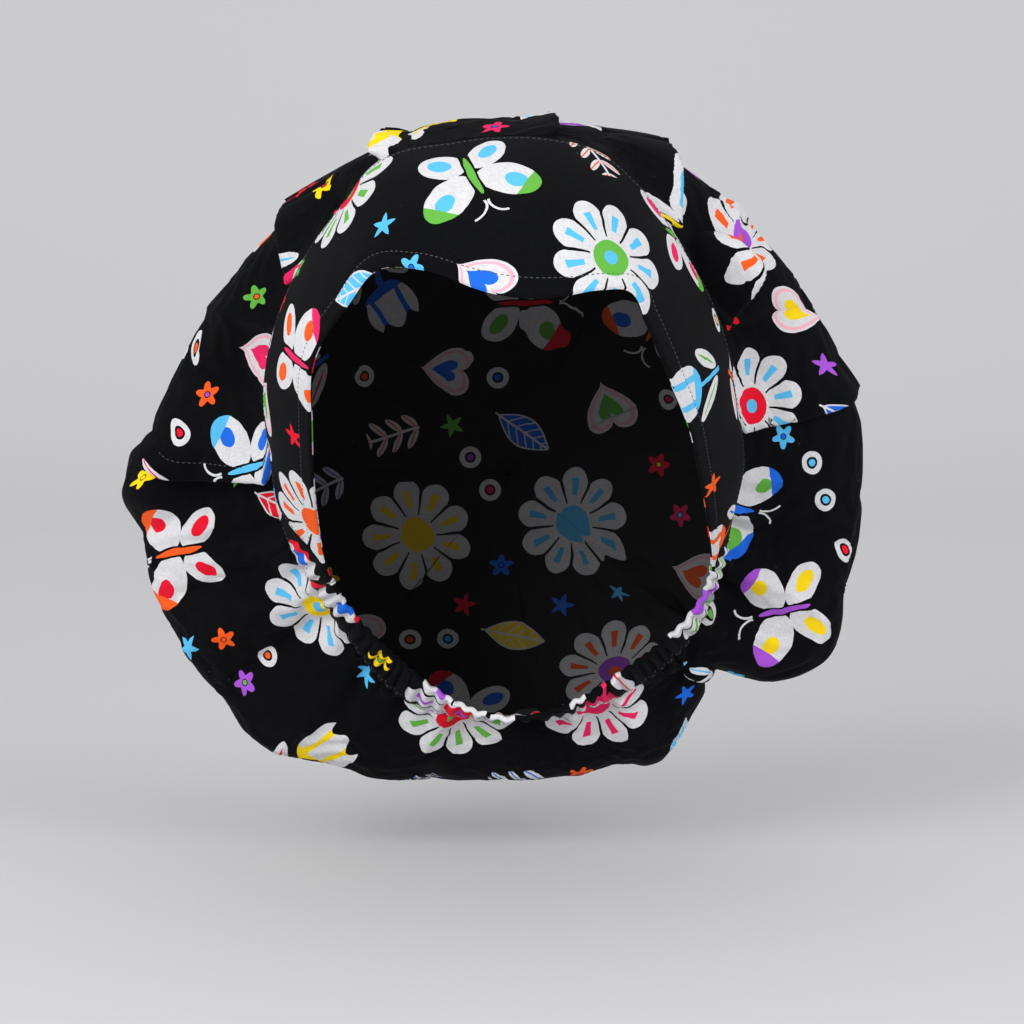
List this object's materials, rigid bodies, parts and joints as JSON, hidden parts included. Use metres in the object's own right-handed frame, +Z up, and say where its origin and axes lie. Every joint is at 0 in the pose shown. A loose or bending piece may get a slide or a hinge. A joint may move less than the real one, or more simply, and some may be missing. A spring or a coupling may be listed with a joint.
{
  "type": "scrub cap",
  "caption": "Soft cloth bouffant cap in its worn form: a wide pointed band over the brow, a full gathered pouch behind it and a narrow elastic casing round the nape.",
  "frame": {"origin": "where the top of the head touches the inside of the cap", "axes": "+Z up, the face opening looks towards -Y, +X is the wearer's left and the widest direction"},
  "size_m": [0.3074, 0.2557, 0.2907],
  "materials": {
    "band_cloth": "matte plain-weave cotton, doubled and topstitched, black with a bright novelty print",
    "pouch_cloth": "matte plain-weave cotton, black with a bright novelty print",
    "casing_cloth": "matte plain-weave cotton gathered over a hidden elastic, black with a bright novelty print"
  },
  "bodies": {
    "root": {"front_band": "band_cloth", "crown_pouch": "pouch_cloth", "nape_casing": "casing_cloth"}
  },
  "joints": []
}
